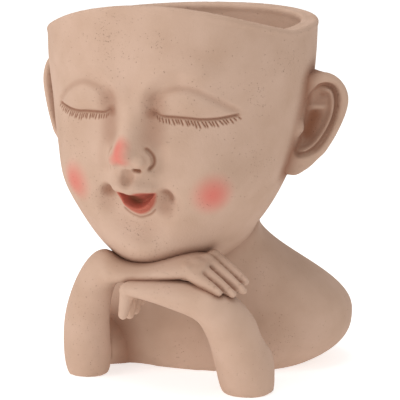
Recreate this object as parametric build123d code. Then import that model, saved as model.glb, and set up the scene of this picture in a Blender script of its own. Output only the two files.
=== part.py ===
from build123d import *
import math
import os

# Head planter: an open-topped head cast with a clay look, its chin on two crossed hands in front
# of a hollow shoulder bust. Millimetres, +Z up, the face looks along -Y and her left side is +X.

# Fits
BOND_GAP = 0.25         # adhesive line between two castings
PLUG_CLEARANCE = 0.1    # rubber stem in the drain bore, on the radius

# Head, which is the pot
HEAD_RADIUS = 62.0      # half width and half depth of the straight upper part
TEMPLE_HEIGHT = 165.0   # above this the head is a straight-sided pot
CHIN_HEIGHT = 54.5      # where the side, front and back profiles close
CHIN_FLAT = 2.5         # the underside is cut flat this far above the closing point
JAW_FORWARD = 15.0      # how far the widest line of a section moves forward by the chin
POT_WALL = 7.5
FLOOR_LIFT = 23.5       # from the chin up to the floor of the planting hollow
FLOOR_ROUNDING = 8.0    # round the floor of the hollow turns into its walls with
SIDE_POWERS = (2.1, 2.43)   # superellipse powers of the width as it closes to the chin
FRONT_POWERS = (2.8, 6.0)
BACK_POWERS = (2.0, 1.6)

# Rim, level at the back and sides, with a wave that stands up over the forehead
RIM_LOW = 163.4
RIM_CREST = 18.4
RIM_START = 0.25        # share of the head's radius, in front of its axis, where the wave starts
RIM_POWER = 1.42
RIM_TURN = 3.5          # the crest is turned this many degrees to her left
RIM_TILT = 2.0          # degrees that the whole rim is tilted
RIM_TILT_SIDE = 120.0   # where the tilt stands highest, in degrees from the front to her left
RIM_ROUNDING = 2.5

# Face relief: across, height, half width, half height, rise. Pairs are mirrored.
NOSE_RELIEF = (
    (0.0, 128.0, 5.0, 9.0, 3.4),      # bridge
    (0.0, 120.5, 5.6, 6.5, 4.6),      # ridge
    (0.0, 114.0, 6.6, 5.2, 8.4),      # tip
    (6.4, 110.8, 3.6, 3.8, 3.6),      # wings
)
EYE_RELIEF = (
    (27.0, 132.5, 20.0, 10.5, -4.4),  # socket
    (27.0, 135.5, 13.5, 7.4, 5.2),    # closed upper lid
    (27.0, 150.0, 20.0, 7.0, 1.0),    # brow
)
MOUTH_RELIEF = (
    (0.0, 99.0, 11.5, 10.0, 7.4),     # muzzle
    (12.8, 94.0, 5.0, 7.5, -3.0),     # corners
    (0.0, 85.5, 8.0, 4.5, 1.4),       # lower lip
    (0.0, 77.0, 14.0, 5.0, -2.0),     # hollow above the chin
    (0.0, 64.5, 14.0, 8.0, 3.0),      # chin
)
CHEEK_RELIEF = ((33.0, 97.0, 15.0, 14.0, 3.6),)
FACE_FADE = 4.0         # how steeply the relief fades out at the side of the face
FACE_RELIEF = NOSE_RELIEF + EYE_RELIEF + MOUTH_RELIEF + CHEEK_RELIEF

# Neck joint and drain
NECK_Y = 11.0
SPIGOT_RADIUS = 15.0
SPIGOT_PROUD = 4.0      # how far the spigot stands out of the roof of the bust's hollow
SPIGOT_COVER = 2.0      # pot floor left over the spigot's upper end
DRAIN_RADIUS = 7.0
PLUG_STEM = 18.0
PLUG_FLANGE_RADIUS = 11.0
PLUG_FLANGE = 3.5
PLUG_KNOB_RADIUS = 5.5
PLUG_KNOB = 9.0
PLUG_ROUNDING = 1.5

# Ears
EAR_HEIGHT = 132.0      # height of the upper ear circle's centre
EAR_SETBACK = 6.0       # how far behind the head's axis the ear springs
EAR_INSET = 3.5         # how far inside the head's side the ear springs
EAR_FLARE = 40.0        # degrees the ear plane swings back from square to the side
EAR_REACH = 8.0         # from the spring line to the upper circle's centre
EAR_RADIUS = 12.0
LOBE_DROP = 28.8        # from the upper circle's centre down to the lobe's
LOBE_REACH = -2.5
LOBE_RADIUS = 7.0
EAR_THICKNESS = 11.0
EAR_ROUNDING = 3.4
HELIX_WIDTH = 4.0       # the rolled edge round the ear
SCAPHA_DEPTH = 3.0      # the groove inside the rolled edge
CONCHA_RADIUS = 6.0     # the deep bowl in front of the groove
CONCHA_REACH = 4.0
CONCHA_DROP = 5.0       # from the upper circle's centre down to the bowl's
CONCHA_FOOT_RADIUS = 3.2
CONCHA_FOOT_REACH = -1.0
CONCHA_FOOT_DROP = 19.0
CONCHA_DEPTH = 6.5

# Bust
BUST_TURN = 8.0         # the shoulders are turned this many degrees against the face
BASE_HALF_WIDTH = 46.0
BASE_HALF_DEPTH = 35.0
SHOULDER_HEIGHT = 24.0
SHOULDER_HALF_WIDTH = 66.0
SHOULDER_HALF_DEPTH = 41.0
SHOULDER_X = 4.0        # the shoulders sit a little to her left
SHOULDER_Y = 30.0
NECK_RISE = 21.5        # from the chin up to the top of the neck, which is cut by the head
NECK_HALF_WIDTH = 26.5
NECK_HALF_DEPTH = 27.0
BUST_WALL = 7.0
ROOF_DROP = 4.5         # from the chin down to the roof of the bust's hollow
ROOF_THICKENING = 0.6   # share by which the wall grows towards the roof
ROOF_POWER = 3.0        # how late it grows
BASE_POWER = 2.8        # how quickly the base spreads to the shoulders
SLOPE_POWER = 1.08      # how full the shoulders are, less is fuller
BUST_SQUARENESS = 0.9   # 1 is an ellipse, less is squarer

# Arms: the forearms stand on cut elbows, the hands lie crossed under the chin. Places across are
# from the head's axis, places in depth from the chin's front edge, heights from the chin.
RIGHT_FOREARM = (       # across, depth, height as a share of the wrist's, radius
    (-37.0, 13.8, -0.03, 8.0),
    (-37.1, 13.1, 0.06, 10.2),
    (-37.0, 12.0, 0.18, 10.9),
    (-35.5, 8.0, 0.44, 10.6),
    (-30.5, 2.5, 0.74, 9.4),
    (-25.5, -0.5, 0.92, 8.8),
    (-21.5, -2.0, 1.06, 7.0),
)
RIGHT_WEB = (           # thick web that ties the right elbow to the bust
    (-37.0, 14.0, 0.20, 9.0),
    (-37.0, 30.0, 0.20, 11.0),
    (-34.5, 50.0, 0.20, 13.0),
)
RIGHT_WRIST = (-21.0, -2.0, 0.5, 9.2)        # across, depth, height, radius
RIGHT_PALM = (          # across, depth, height, half width, half thickness
    (-18.0, -4.0, 1.0, 9.0, 7.4),
    (5.0, -7.0, 3.3, 10.5, 3.9),
    (26.0, -5.0, 6.2, 11.4, 4.2),
    (31.5, -5.5, 5.2, 9.6, 3.0),
)
RIGHT_PALM_TILT = 12.0
RIGHT_FINGERS = (       # knuckle and tip
    ((23.5, -13.0, 4.6), (40.0, -16.2, -2.7)),
    ((26.0, -7.5, 6.2), (45.0, -12.2, -3.8)),
    ((28.5, -1.5, 7.5), (48.2, -7.2, -3.2)),
    ((29.5, 4.0, 8.5), (47.0, -1.5, -0.4)),
)
LEFT_FOREARM = (
    (43.7, 13.0, -0.03, 10.8),
    (44.0, 11.6, 0.07, 13.2),
    (44.0, 9.6, 0.20, 14.0),
    (42.4, 2.0, 0.53, 12.8),
    (39.5, -7.0, 0.82, 11.0),
    (36.5, -11.0, 0.96, 10.0),
    (33.5, -13.5, 1.08, 7.5),
)
LEFT_WRIST = (34.0, -13.0, -9.4, 9.6)
LEFT_PALM = (
    (32.0, -13.5, -9.0, 9.6, 8.2),
    (13.0, -12.0, -5.6, 11.0, 6.0),
    (-3.0, -9.0, -4.6, 12.4, 4.6),
)
LEFT_PALM_TILT = 0.0
LEFT_FINGERS = (
    ((-4.0, -17.0, -5.0), (-6.2, -17.4, -17.0)),
    ((-4.6, -10.0, -4.4), (-6.4, -9.5, -18.6)),
    ((-4.6, -3.5, -4.4), (-6.4, -3.0, -18.0)),
    ((-4.0, 2.0, -5.0), (-6.0, 2.5, -15.0)),
)
FINGER_BASE_RADIUS = 3.4
FINGER_TIP_RADIUS = 2.4

HEAD_LEVELS = 40        # sections that the head is lofted through
HOLLOW_LEVELS = 32
BUST_LEVELS = 22
BUST_POINTS = 36
SECTION_POINTS = 90     # points on a head section, closer together over the face
FACE_CROWDING = 0.45
WAVE_STEPS = 6          # steps of the rim's wave
OVERRUN = 12.0          # how far cutters run past what they cut

# Heights that follow the chin
FLOOR_HEIGHT = CHIN_HEIGHT + FLOOR_LIFT
NECK_TOP = CHIN_HEIGHT + NECK_RISE
BUST_ROOF = CHIN_HEIGHT - ROOF_DROP
SPIGOT_END = BUST_ROOF - SPIGOT_PROUD

STAND = (Align.CENTER, Align.CENTER, Align.MIN)
HANG = (Align.CENTER, Align.CENTER, Align.MAX)


def spline_wire(points):
    """A closed smooth section, with evenly spaced parameters so that sections loft without twist."""
    steps = [i / len(points) for i in range(len(points) + 1)]
    return Wire([Edge.make_spline(points, periodic=True, parameters=steps)])


def closing(share, powers):
    """How much of a profile is left, from 1 at the temple to 0 at the chin."""
    rise, root = powers
    return max(1.0 - share ** rise, 0.0) ** (1.0 / root)


def profile_share(height):
    """How far down from the temple to the chin a height lies, from 0 to 1."""
    return max(0.0, (TEMPLE_HEIGHT - height) / (TEMPLE_HEIGHT - CHIN_HEIGHT))


def chin_front():
    """Depth of the chin's front edge, which the hands are placed from."""
    return -HEAD_RADIUS * closing(profile_share(CHIN_HEIGHT + CHIN_FLAT), FRONT_POWERS)


def face_rise(across, height):
    """Relief of the face over the plain head at one place."""
    total = 0.0
    for pad_x, pad_z, half_width, half_height, rise in FACE_RELIEF:
        sides = (1, -1) if pad_x else (1,)
        for side in sides:
            reach = ((across - side * pad_x) / half_width) ** 2 + ((height - pad_z) / half_height) ** 2
            total += rise * math.exp(-reach)
    return total


def head_section(height, grow=0.0, with_face=True):
    """One level section of the head, grown outwards or inwards by an even amount."""
    share = profile_share(height)
    half_width = HEAD_RADIUS * closing(share, SIDE_POWERS)
    front = HEAD_RADIUS * closing(share, FRONT_POWERS)
    back = HEAD_RADIUS * closing(share, BACK_POWERS)
    middle_y = -JAW_FORWARD * share ** 2
    points = []
    for i in range(SECTION_POINTS):
        even = 2.0 * math.pi * i / SECTION_POINTS
        turn = even - FACE_CROWDING * math.sin(even)
        facing = math.cos(turn) > 0.0
        depth = front + middle_y if facing else back - middle_y
        x = half_width * math.sin(turn)
        y = middle_y - depth * math.cos(turn)
        out = Vector(math.sin(turn) / half_width, -math.cos(turn) / depth).normalized()
        rise = grow
        if with_face and facing:
            rise += face_rise(x, height) * min(1.0, FACE_FADE * math.cos(turn))
        points.append((x + rise * out.X, y + rise * out.Y, height))
    return spline_wire(points)


def head_outside(grow=0.0):
    """The head as a solid block, before it is hollowed and its rim is cut."""
    bottom = CHIN_HEIGHT + CHIN_FLAT
    top = RIM_LOW + RIM_CREST + OVERRUN
    levels = [bottom + (top - bottom) * i / (HEAD_LEVELS - 1) for i in range(HEAD_LEVELS)]
    return Solid.make_loft([head_section(level, grow) for level in levels])


def head_hollow():
    """The planting hollow: the plain head inset by the wall, with a rounded floor."""
    top = RIM_LOW + RIM_CREST + OVERRUN
    wires = []
    for i in range(HOLLOW_LEVELS):
        lift = (top - FLOOR_HEIGHT) * i / (HOLLOW_LEVELS - 1)
        below = max(0.0, FLOOR_ROUNDING - lift)
        tuck = FLOOR_ROUNDING - math.sqrt(FLOOR_ROUNDING ** 2 - below ** 2)
        wires.append(head_section(FLOOR_HEIGHT + lift, -POT_WALL - tuck, with_face=False))
    return Solid.make_loft(wires)


def above_rim():
    """Everything above the waved rim, as a block swept square across the head."""
    reach = HEAD_RADIUS + OVERRUN
    top = RIM_LOW + 2.0 * RIM_CREST + OVERRUN
    start = RIM_START * HEAD_RADIUS
    curve = []
    for i in range(WAVE_STEPS + 1):
        along = start + (reach - start) * i / WAVE_STEPS
        share = (along - start) / (HEAD_RADIUS - start)
        curve.append((along, RIM_LOW + RIM_CREST * share ** RIM_POWER))
    across_plane = Plane(origin=(0, 0, 0), x_dir=(0, -1, 0), z_dir=(-1, 0, 0))
    level = Line((-reach, RIM_LOW), curve[0])
    wave = Spline(*curve, tangents=[(1, 0), (curve[-1][0] - curve[-2][0], curve[-1][1] - curve[-2][1])])
    lid = Polyline(curve[-1], (reach, top), (-reach, top), (-reach, RIM_LOW))
    block = extrude(across_plane * make_face([level, wave, lid]), amount=reach, both=True)
    side = math.radians(RIM_TILT_SIDE)
    tilt_axis = Axis((0, 0, RIM_LOW), (-math.cos(side), -math.sin(side), 0))
    return block.rotate(Axis.Z, RIM_TURN).rotate(tilt_axis, RIM_TILT)


def head_seat():
    """The head grown by the bond line, which cuts the seats of all that is bonded to it."""
    return Pos(0, 0, -BOND_GAP) * head_outside(BOND_GAP)


def ear_plane():
    """Plane of the left ear's back face: x runs out along the ear, z faces forwards and outwards."""
    flare = math.radians(EAR_FLARE)
    out = Vector(math.cos(flare), math.sin(flare), 0)
    facing = Vector(math.sin(flare), -math.cos(flare), 0)
    spring = Vector(HEAD_RADIUS - EAR_INSET, EAR_SETBACK, EAR_HEIGHT)
    return Plane(origin=spring - facing * (EAR_THICKNESS / 2), x_dir=out, z_dir=facing)


def teardrop(reach, drop, radius, foot_reach, foot_drop, foot_radius):
    """Outline round an upper and a lower circle, with straight sides between them."""
    upper = CenterArc((reach, -drop), radius, 0, 360)
    foot = CenterArc((foot_reach, -foot_drop), foot_radius, 0, 360)
    return make_hull([upper.edge(), foot.edge()])


def ear_outline(inset):
    return teardrop(EAR_REACH, 0.0, EAR_RADIUS - inset, LOBE_REACH, LOBE_DROP, LOBE_RADIUS - inset)


def make_left_ear(seat):
    """A rounded blade with a groove inside its rolled edge and a deeper bowl, cut to the head's side."""
    ear = extrude(ear_outline(0.0), amount=EAR_THICKNESS)
    ear = fillet(ear.faces().filter_by(Plane.XY).edges(), EAR_ROUNDING)
    scapha = extrude(ear_outline(HELIX_WIDTH), amount=SCAPHA_DEPTH)
    bowl = extrude(teardrop(CONCHA_REACH, CONCHA_DROP, CONCHA_RADIUS, CONCHA_FOOT_REACH,
                            CONCHA_FOOT_DROP, CONCHA_FOOT_RADIUS), amount=CONCHA_DEPTH)
    ear -= Pos(0, 0, EAR_THICKNESS - SCAPHA_DEPTH) * scapha
    ear -= Pos(0, 0, EAR_THICKNESS - CONCHA_DEPTH) * bowl
    return ear_plane() * ear - seat


def make_head():
    head = head_outside() - head_hollow() - above_rim()
    below_rim = RIM_LOW - HEAD_RADIUS * math.sin(math.radians(RIM_TILT)) - RIM_ROUNDING
    rim_edges = [edge for edge in head.edges() if edge.bounding_box().min.Z > below_rim]
    head = fillet(rim_edges, RIM_ROUNDING)
    spigot_height = FLOOR_HEIGHT - SPIGOT_COVER - SPIGOT_END
    spigot = Pos(0, NECK_Y, SPIGOT_END) * Cylinder(SPIGOT_RADIUS, spigot_height, align=STAND)
    drain = Pos(0, NECK_Y, SPIGOT_END - OVERRUN) * Cylinder(DRAIN_RADIUS, FLOOR_HEIGHT, align=STAND)
    return head + spigot - drain


def bust_section(height, inset=0.0):
    """One level section of the bust: an oval that widens to the shoulders and closes to the neck."""
    if height < SHOULDER_HEIGHT:
        spread = 1.0 - (1.0 - max(height, 0.0) / SHOULDER_HEIGHT) ** BASE_POWER
        half_width = BASE_HALF_WIDTH + (SHOULDER_HALF_WIDTH - BASE_HALF_WIDTH) * spread
        half_depth = BASE_HALF_DEPTH + (SHOULDER_HALF_DEPTH - BASE_HALF_DEPTH) * spread
        middle_x = SHOULDER_X
        middle_y = SHOULDER_Y
    else:
        share = (height - SHOULDER_HEIGHT) / (NECK_TOP - SHOULDER_HEIGHT)
        spread = ((1.0 + math.cos(math.pi * min(share, 1.0))) / 2.0) ** SLOPE_POWER
        half_width = NECK_HALF_WIDTH + (SHOULDER_HALF_WIDTH - NECK_HALF_WIDTH) * spread
        half_depth = NECK_HALF_DEPTH + (SHOULDER_HALF_DEPTH - NECK_HALF_DEPTH) * spread
        middle_x = SHOULDER_X * spread
        middle_y = NECK_Y + (SHOULDER_Y - NECK_Y) * spread
    points = []
    for i in range(BUST_POINTS):
        turn = 2.0 * math.pi * i / BUST_POINTS
        x = math.copysign(abs(math.sin(turn)) ** BUST_SQUARENESS, math.sin(turn))
        y = math.copysign(abs(math.cos(turn)) ** BUST_SQUARENESS, math.cos(turn))
        points.append((middle_x + (half_width - inset) * x, middle_y - (half_depth - inset) * y, height))
    return spline_wire(points)


def bust_block(top, inset):
    """The bust, or the space inset in it, as a solid from the ground up to one height."""
    wires = []
    for i in range(BUST_LEVELS):
        level = top * i / (BUST_LEVELS - 1)
        wires.append(bust_section(level, inset(level / top)))
    return Solid.make_loft(wires).rotate(Axis((SHOULDER_X, SHOULDER_Y, 0), (0, 0, 1)), BUST_TURN)


def bust_outside(grow=0.0):
    return bust_block(NECK_TOP, lambda rise: -grow)


def bust_hollow():
    return bust_block(BUST_ROOF, lambda rise: BUST_WALL * (1.0 + ROOF_THICKENING * rise ** ROOF_POWER))


def make_bust(seat):
    """A shell that is open below, with a socket in its neck for the head's spigot."""
    socket = Pos(0, NECK_Y, SPIGOT_END) * Cylinder(SPIGOT_RADIUS + BOND_GAP, NECK_TOP, align=STAND)
    return bust_outside() - bust_hollow() - socket - seat


def tapered_limb(stations):
    """Loft through circles set square to the line through their centres."""
    centres = [Vector(*station[:3]) for station in stations]
    wires = []
    for i, station in enumerate(stations):
        before = centres[max(i - 1, 0)]
        after = centres[min(i + 1, len(centres) - 1)]
        plane = Plane(origin=centres[i], x_dir=(1, 0, 0), z_dir=after - before)
        wires.append(Wire.make_circle(station[3], plane))
    return Solid.make_loft(wires)


def hand_point(across, depth, height):
    return Vector(across, chin_front() + depth, CHIN_HEIGHT + height)


def palm(stations, tilt, grow):
    """Loft through flat ovals set square to the hand, with their long axis across it."""
    centres = [hand_point(*station[:3]) for station in stations]
    across = Vector(0, math.cos(math.radians(tilt)), math.sin(math.radians(tilt)))
    wires = []
    for i, (_, _, _, half_width, half_thickness) in enumerate(stations):
        before = centres[max(i - 1, 0)]
        after = centres[min(i + 1, len(centres) - 1)]
        plane = Plane(origin=centres[i], x_dir=across, z_dir=after - before)
        wires.append(Wire.make_ellipse(half_width + grow, half_thickness + grow, plane))
    return Solid.make_loft(wires)


def finger(knuckle, tip, grow):
    """A tapered finger with round ends."""
    start = hand_point(*knuckle)
    end = hand_point(*tip)
    length = (end - start).length
    base = FINGER_BASE_RADIUS + grow
    point = FINGER_TIP_RADIUS + grow
    outline = [
        CenterArc((0, 0), base, -90, 90),
        Line((base, 0), (point, length)),
        CenterArc((0, length), point, 0, 90),
        Line((0, length + point), (0, -base)),
    ]
    half = Plane.XZ * make_face(outline)
    return Plane(origin=start, z_dir=end - start) * revolve(half, Axis.Z)


def standing_limb(stations, wrist, grow):
    """A limb whose stations rise from the ground towards the wrist."""
    wrist_height = hand_point(*wrist[:3]).Z
    return tapered_limb([(across, chin_front() + depth, share * wrist_height, radius + grow)
                         for across, depth, share, radius in stations])


def make_arm(forearm, wrist, palm_stations, palm_tilt, fingers, grow=0.0):
    """A forearm standing on its cut elbow, with the hand laid over at the wrist."""
    arm = standing_limb(forearm, wrist, grow)
    arm += Pos(*hand_point(*wrist[:3])) * Sphere(wrist[3] + grow)
    arm += palm(palm_stations, palm_tilt, grow)
    for knuckle, tip in fingers:
        arm += finger(knuckle, tip, grow)
    return arm


def below_ground():
    return Box(4 * SHOULDER_HALF_WIDTH, 4 * SHOULDER_HALF_WIDTH, OVERRUN, align=HANG)


def make_plug():
    """Rubber bung: a rounded stem in the drain, a flange under the spigot and a knob to pull."""
    stem = DRAIN_RADIUS - PLUG_CLEARANCE
    outline = Polyline(
        (0, PLUG_STEM), (stem, PLUG_STEM), (stem, 0), (PLUG_FLANGE_RADIUS, 0),
        (PLUG_FLANGE_RADIUS, -PLUG_FLANGE), (PLUG_KNOB_RADIUS, -PLUG_FLANGE),
        (PLUG_KNOB_RADIUS, -PLUG_FLANGE - PLUG_KNOB), (0, -PLUG_FLANGE - PLUG_KNOB), close=True)
    plug = revolve(Plane.XZ * make_face(outline), Axis.Z)
    rims = plug.edges().filter_by(GeomType.CIRCLE).group_by(Axis.Z)
    plug = fillet(rims[-1] + rims[0], PLUG_ROUNDING)
    return Pos(0, NECK_Y, SPIGOT_END) * plug


seat = head_seat()
right_shape = (RIGHT_FOREARM, RIGHT_WRIST, RIGHT_PALM, RIGHT_PALM_TILT, RIGHT_FINGERS)
left_shape = (LEFT_FOREARM, LEFT_WRIST, LEFT_PALM, LEFT_PALM_TILT, LEFT_FINGERS)
right_web = standing_limb(RIGHT_WEB, RIGHT_WRIST, 0.0) - bust_outside(BOND_GAP)
left_ear = make_left_ear(seat)
parts = {
    "head_pot": make_head(),
    "left_ear": left_ear,
    "right_ear": mirror(left_ear, about=Plane.YZ),
    "bust": make_bust(seat),
    "right_arm": make_arm(*right_shape) + right_web - below_ground() - seat,
    "left_arm": make_arm(*left_shape) - below_ground() - make_arm(*right_shape, grow=BOND_GAP) - seat,
    "drain_plug": make_plug(),
}

os.makedirs("parts", exist_ok=True)
corners = [shape.bounding_box() for shape in parts.values()]
middle_x = (min(c.min.X for c in corners) + max(c.max.X for c in corners)) / 2
middle_y = (min(c.min.Y for c in corners) + max(c.max.Y for c in corners)) / 2
for name, shape in parts.items():
    placed = Pos(-middle_x, -middle_y, 0) * shape
    export_step(placed, f"parts/{name}.step")
    print(name, round(shape.volume), len(shape.solids()), shape.is_valid)
print("origin shift", round(middle_x, 4), round(middle_y, 4))
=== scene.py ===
# %% [markdown]
# # A head planter, modelled over its frame
# The real planter is cast in a few pieces from resin with mineral powder, bonded together, rubbed with a
# brown wash that stays in the creases, and touched with coral paint. The imported model gives the place and the
# main form of each casting. This lesson turns those forms into even clay, models the face, the ears and the
# hands in it as a sculptor would, and then paints it, with painted shade in the creases and joints laid in
# the same brown as the wash. The studio is measured in metres, the figure in mm.

# %% Load the frame
import math
import bpy
import numpy as np
from mathutils import Matrix, Vector
from mathutils.bvhtree import BVHTree


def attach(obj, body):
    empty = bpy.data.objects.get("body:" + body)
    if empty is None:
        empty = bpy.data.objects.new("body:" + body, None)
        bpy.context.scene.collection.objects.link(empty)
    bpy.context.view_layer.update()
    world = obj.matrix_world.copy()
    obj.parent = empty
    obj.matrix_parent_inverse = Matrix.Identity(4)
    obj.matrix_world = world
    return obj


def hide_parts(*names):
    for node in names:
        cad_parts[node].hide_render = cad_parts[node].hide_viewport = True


MM = 0.001
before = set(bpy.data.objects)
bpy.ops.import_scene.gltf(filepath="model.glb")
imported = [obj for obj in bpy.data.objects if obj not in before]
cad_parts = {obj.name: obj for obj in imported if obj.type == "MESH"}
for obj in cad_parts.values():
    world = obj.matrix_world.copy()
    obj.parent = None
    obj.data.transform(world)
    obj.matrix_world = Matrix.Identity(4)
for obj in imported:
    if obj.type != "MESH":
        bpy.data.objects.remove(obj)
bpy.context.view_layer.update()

# %% [markdown]
# ## The studio
# The photograph was taken from a little above and from the figure's left, with a long lens, on plain white.
# A camera aimed by an angle, a height angle and a distance is easy to set again, so those are the values
# here. The world is plain white to the camera and a softer glow to the clay, so the white doesn't wash out
# the clay's colour. The floor does the same, and it still takes the shadow.

# %% The camera
CAMERA_TURN = math.radians(22)
CAMERA_TILT = math.radians(12)
CAMERA_DISTANCE = 1.4
CAMERA_AIM = Vector((0.0, 0.0, 0.080))
CAMERA_SIDESTEP = 0.0079
CAMERA_LENS = 271.0
CAMERA_SENSOR = 36.0

to_right = Vector((math.cos(CAMERA_TURN), math.sin(CAMERA_TURN), 0.0))
forward = Vector((
    -math.sin(CAMERA_TURN) * math.cos(CAMERA_TILT),
    math.cos(CAMERA_TURN) * math.cos(CAMERA_TILT),
    -math.sin(CAMERA_TILT),
))
to_top = to_right.cross(forward)
bpy.ops.object.select_all(action="DESELECT")
bpy.ops.object.camera_add(location=CAMERA_AIM + to_right * CAMERA_SIDESTEP - forward * CAMERA_DISTANCE)
camera = bpy.context.object
camera.rotation_euler = forward.to_track_quat("-Z", "Y").to_euler()
camera.data.lens = CAMERA_LENS
camera.data.sensor_width = CAMERA_SENSOR
bpy.context.scene.camera = camera
bpy.context.scene.view_settings.view_transform = "Standard"
print("camera at", [round(v, 3) for v in camera.location])

# %% Nodes are placed and joined by short helpers
def feed(tree, node, inputs):
    """Set inputs of a node to plain values, or join outputs of other nodes to them."""
    for key, value in inputs.items():
        if isinstance(value, bpy.types.NodeSocket):
            tree.links.new(value, node.inputs[key])
        else:
            node.inputs[key].default_value = value


def add_node(tree, kind, inputs, **settings):
    """Add a node of a kind with its settings and its inputs."""
    node = tree.nodes.new(kind)
    for name, value in settings.items():
        setattr(node, name, value)
    feed(tree, node, inputs)
    return node


def calculate(tree, operation, *terms, **settings):
    """The output of a maths node on some terms."""
    node = add_node(tree, "ShaderNodeMath", dict(enumerate(terms)), operation=operation, **settings)
    return node.outputs[0]


# %% A world that is white to the camera and soft to the clay
WHITE = (1.0, 1.0, 1.0, 1.0)
WORLD_TINT = (1.0, 0.985, 0.97, 1.0)
WORLD_GLOW = 0.50

world = bpy.data.worlds.new("studio")
world.use_nodes = True
bpy.context.scene.world = world
tree = world.node_tree
tree.nodes.clear()
path = add_node(tree, "ShaderNodeLightPath", {})
seen = path.outputs["Is Camera Ray"]
for ray in ("Is Glossy Ray", "Is Transmission Ray"):
    seen = calculate(tree, "MAXIMUM", seen, path.outputs[ray])
glow = add_node(tree, "ShaderNodeBackground", {"Color": WORLD_TINT, "Strength": WORLD_GLOW})
white = add_node(tree, "ShaderNodeBackground", {"Color": WHITE, "Strength": 1.0})
mix = add_node(tree, "ShaderNodeMixShader", {0: seen, 1: glow.outputs[0], 2: white.outputs[0]})
add_node(tree, "ShaderNodeOutputWorld", {"Surface": mix.outputs[0]})
print("world:", len(tree.nodes), "nodes")

# %% The floor keeps the shadow
FLOOR_SIZE = 6.0
FLOOR_GREY = (0.80, 0.80, 0.80, 1.0)
FLOOR_GLOW = 0.62
BOUNCE_TINT = (1.0, 0.98, 0.96, 1.0)
FLOOR_BOUNCE = 0.42

bpy.ops.object.select_all(action="DESELECT")
bpy.ops.mesh.primitive_plane_add(size=FLOOR_SIZE)
floor = bpy.context.object
floor.name = "floor"
paper = bpy.data.materials.new("white_paper")
paper.use_nodes = True
tree = paper.node_tree
tree.nodes.clear()
path = add_node(tree, "ShaderNodeLightPath", {})
matte = add_node(tree, "ShaderNodeBsdfDiffuse", {"Color": FLOOR_GREY})
glows = []
for tint, strength in ((BOUNCE_TINT, FLOOR_BOUNCE), (WHITE, FLOOR_GLOW)):
    glow = add_node(tree, "ShaderNodeEmission", {"Color": tint, "Strength": strength})
    glows.append(add_node(tree, "ShaderNodeAddShader", {0: matte.outputs[0], 1: glow.outputs[0]}).outputs[0])
mix = add_node(tree, "ShaderNodeMixShader", {0: path.outputs["Is Camera Ray"], 1: glows[0], 2: glows[1]})
add_node(tree, "ShaderNodeOutputMaterial", {"Surface": mix.outputs[0]})
floor.data.materials.append(paper)
print("floor:", FLOOR_SIZE, "m square")

# %% Three soft lamps, the key lamp before the figure's right cheek
LAMPS = {
    "key": {"place": (-0.90, -1.05, 0.55), "size": 0.60, "watts": 6.2, "tint": (1.0, 0.965, 0.94)},
    "top": {"place": (-0.15, -0.15, 1.30), "size": 0.90, "watts": 6.2, "tint": (1.0, 0.98, 0.96)},
    "fill": {"place": (0.60, -1.20, 0.35), "size": 0.80, "watts": 1.4, "tint": (1.0, 0.97, 0.92)},
}

for name, lamp in LAMPS.items():
    bpy.ops.object.select_all(action="DESELECT")
    bpy.ops.object.light_add(type="AREA", location=lamp["place"])
    light = bpy.context.object
    light.name = name + "_lamp"
    light.data.size = lamp["size"]
    light.data.energy = lamp["watts"]
    light.data.color = lamp["tint"]
    light.rotation_euler = (CAMERA_AIM - light.location).to_track_quat("-Z", "Y").to_euler()
print("lamps:", ", ".join(LAMPS))

# %% [markdown]
# ## Even clay
# A casting begins as the CAD node's own surface, copied and merged, because its place and proportions are
# already right. Its triangles are long and uneven, which no brush can work on. The Remesh modifier in voxel
# mode skins it again with small even squares, and a few passes of Smooth take off the hard edges, as a wet
# sponge does on real clay.

# %% Select one object, apply one modifier
RUB_FACTOR = 0.5


def select_only(piece):
    """Make a piece the only selected and the active object."""
    bpy.ops.object.select_all(action="DESELECT")
    piece.select_set(True)
    bpy.context.view_layer.objects.active = piece


def apply_modifier(piece, kind, **settings):
    """Add a modifier with its settings and apply it at once."""
    select_only(piece)
    modifier = piece.modifiers.new(kind.title(), kind)
    for name, value in settings.items():
        setattr(modifier, name, value)
    bpy.ops.object.modifier_apply(modifier=modifier.name)


def rub(piece, times, **settings):
    """Smooth a piece a number of times."""
    apply_modifier(piece, "SMOOTH", factor=RUB_FACTOR, iterations=times, **settings)


def skin(piece, square, rubs):
    """Skin a piece with even squares of a size, rub off its edges and shade it smooth."""
    apply_modifier(piece, "REMESH", mode="VOXEL", voxel_size=square * MM)
    rub(piece, rubs)
    bpy.ops.object.shade_smooth()
    print(piece.name, "is now", len(piece.data.polygons), "faces of", square, "mm")


# %% Turn CAD nodes into clay
WELD_GAP = 0.001
CAST_RUBS = 3
SQUARES = {"head_pot": 1.85, "bust": 1.5, "right_arm": 0.8, "left_arm": 0.8}


def soft_copy(node, square):
    """Copy a CAD node, merge its points and skin it with squares of a size."""
    clay = bpy.data.objects.new(node + "_cast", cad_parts[node].data.copy())
    bpy.context.scene.collection.objects.link(clay)
    clay.data.materials.clear()
    select_only(clay)
    bpy.ops.object.mode_set(mode="EDIT")
    bpy.ops.mesh.select_all(action="SELECT")
    bpy.ops.mesh.remove_doubles(threshold=WELD_GAP * MM)
    bpy.ops.object.mode_set(mode="OBJECT")
    skin(clay, square, CAST_RUBS)
    return clay


clays = {node: soft_copy(node, square) for node, square in SQUARES.items()}

# %% [markdown]
# ## Strokes
# A sculptor works clay along lines: a thumb drags a ridge up, a loop tool cuts a groove. The same is done
# here in code. A stroke is a smooth line laid on the clay, a width and a height, and every point near the
# line moves along its own normal, most on the line and not at all past the width. Sculpt brushes need a
# window and a hand, and this lesson uses no pictures, so short strokes in code are the plain way.

# %% A smooth line through a few corner points
PATH_STEP = 0.4


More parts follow.
